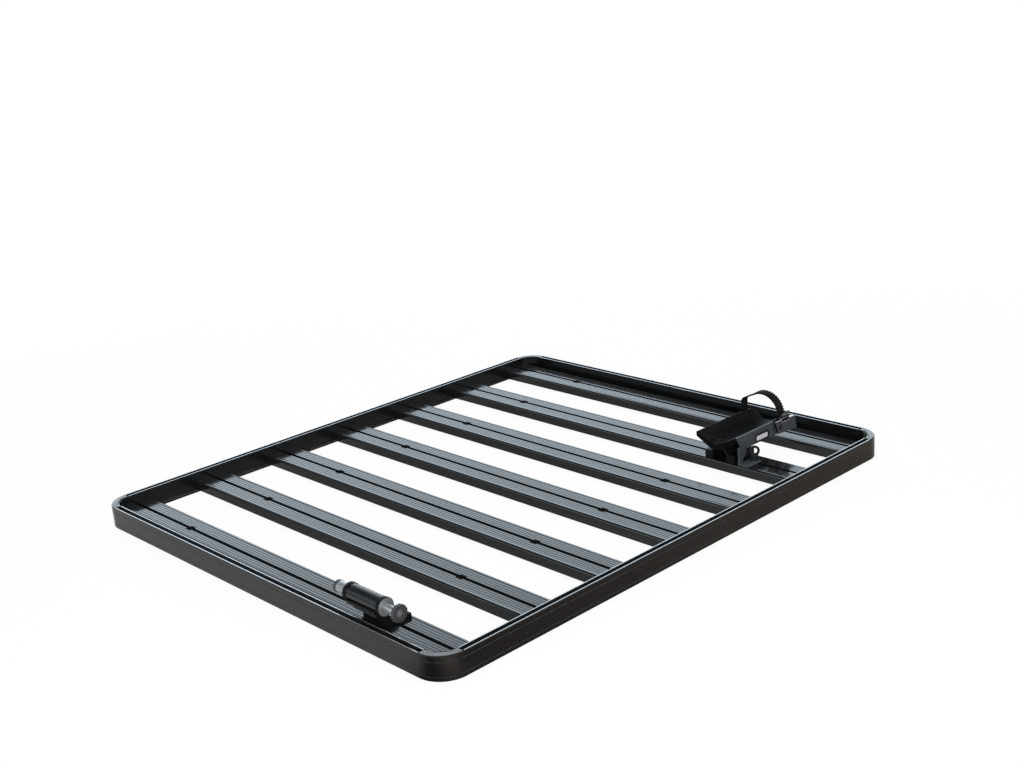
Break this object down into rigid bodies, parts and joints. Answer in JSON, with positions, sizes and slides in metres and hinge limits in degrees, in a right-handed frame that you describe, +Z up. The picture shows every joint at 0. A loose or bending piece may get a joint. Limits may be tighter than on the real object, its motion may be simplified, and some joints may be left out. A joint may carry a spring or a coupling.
{
  "type": "roof mounted bike carrier",
  "caption": "Roof platform of slotted slats in a railed frame, carrying a through-axle fork mount and a rear wheel cradle with a ratchet strap.",
  "frame": {"origin": "middle of the platform's footprint, on the plane of the rails' undersides", "axes": "+X along the slats to the side that carries the bike mount, +Y from the fork mount towards the wheel cradle, +Z up"},
  "size_m": [1.165, 1.358, 0.147],
  "materials": {
    "rail": "satin black powder coat",
    "casting": "satin dark grey powder coat",
    "slat": "satin anodised, blue-grey",
    "steel": "zinc plated",
    "bracket": "satin",
    "black": "fine moulded grain",
    "tube": "satin dark grey",
    "collar": "matt",
    "cap": "turned",
    "knob": "fine moulded grain",
    "tray": "matt",
    "plate": "blue-grey, fine grain",
    "panel": "pale grey",
    "pawl": "blackened",
    "strap": "semi-matt"
  },
  "bodies": {
    "rack": {"front_rail": "rail", "rear_rail": "rail", "left_rail": "rail", "right_rail": "rail", "corner_front_left": "casting", "corner_front_right": "casting", "corner_rear_left": "casting", "corner_rear_right": "casting", "slat_1": "slat", "slat_2": "slat", "slat_3": "slat", "slat_4": "slat", "slat_5": "slat", "slat_6": "slat", "slat_7": "slat", "slat_brackets": "bracket", "rail_bolts": "steel", "rail_nuts": "steel", "slat_screws": "steel", "corner_screws": "steel", "fork_block": "black", "fork_tube": "tube", "tube_collars": "collar", "axle_cap_left": "cap", "axle_cap_right": "cap", "tube_screws": "steel", "fork_stud_bar": "steel", "fork_nuts": "steel", "cradle_base": "black", "wheel_tray": "tray", "side_plate": "plate", "side_panel": "panel", "plate_screws": "steel", "tray_screws": "steel", "cradle_stud_bar": "steel", "cradle_nuts": "steel", "clamp_stud": "steel", "buckle_base": "bracket", "buckle_screws": "steel", "lever_pin": "steel", "tab_pin": "steel", "tab_spring": "steel", "strap_anchor": "bracket", "anchor_screws": "steel", "anchor_pin": "steel"},
    "axle": {"fork_axle": "steel", "axle_head": "knob"},
    "knob_washer": {"knob_washer": "steel"},
    "axle_knob": {"axle_knob": "knob"},
    "clamp_washer": {"clamp_washer": "steel"},
    "clamp_knob": {"clamp_knob": "knob"},
    "lever": {"ratchet_lever": "plate", "lever_rivet": "steel", "pawl_pin": "steel"},
    "drive_pawl": {"drive_pawl": "pawl"},
    "release_tab": {"release_tab": "pawl"},
    "strap": {"ratchet_strap": "strap"}
  },
  "joints": [
    {"name": "axle_slide", "type": "slide", "parent": "rack", "child": "axle", "axis": [-1, 0, 0], "range_m": [0, 0.17]},
    {"name": "knob_travel", "type": "slide", "parent": "rack", "child": "knob_washer", "axis": [1, 0, 0], "range_m": [-0.022, 0.012]},
    {"name": "knob_turn", "type": "hinge", "parent": "knob_washer", "child": "axle_knob", "pos_m": [0.4385, -0.644, 0.083], "axis": [1, 0, 0], "range_deg": [-1320, 720]},
    {"name": "clamp_travel", "type": "slide", "parent": "rack", "child": "clamp_washer", "axis": [0, 0, 1], "range_m": [0, 0.006]},
    {"name": "clamp_turn", "type": "hinge", "parent": "clamp_washer", "child": "clamp_knob", "pos_m": [0.4205, 0.404, 0.047], "axis": [0, 0, 1], "range_deg": [0, 1728]},
    {"name": "lever_swing", "type": "hinge", "parent": "rack", "child": "lever", "pos_m": [0.40885, 0.533, 0.0925], "axis": [0, -1, 0], "range_deg": [0, 75]},
    {"name": "pawl_swing", "type": "hinge", "parent": "lever", "child": "drive_pawl", "pos_m": [0.40945, 0.533, 0.073], "axis": [0, -1, 0], "range_deg": [0, 12], "stiffness_Nm_per_rad": 0.004, "springref_deg": -20.05},
    {"name": "tab_swing", "type": "hinge", "parent": "rack", "child": "release_tab", "pos_m": [0.40945, 0.533, 0.1005], "axis": [0, -1, 0], "range_deg": [0, 25], "stiffness_Nm_per_rad": 0.01, "springref_deg": -20.05},
    {"name": "strap_swing", "type": "hinge", "parent": "rack", "child": "strap", "pos_m": [0.2945, 0.533, 0.078], "axis": [0, -1, 0], "range_deg": [0, 100]}
  ],
  "couplings": [
    {"joint": "knob_turn", "follows": "knob_travel", "rad_per_m": 1047.2},
    {"joint": "clamp_turn", "follows": "clamp_travel", "rad_per_m": 5026.5}
  ]
}
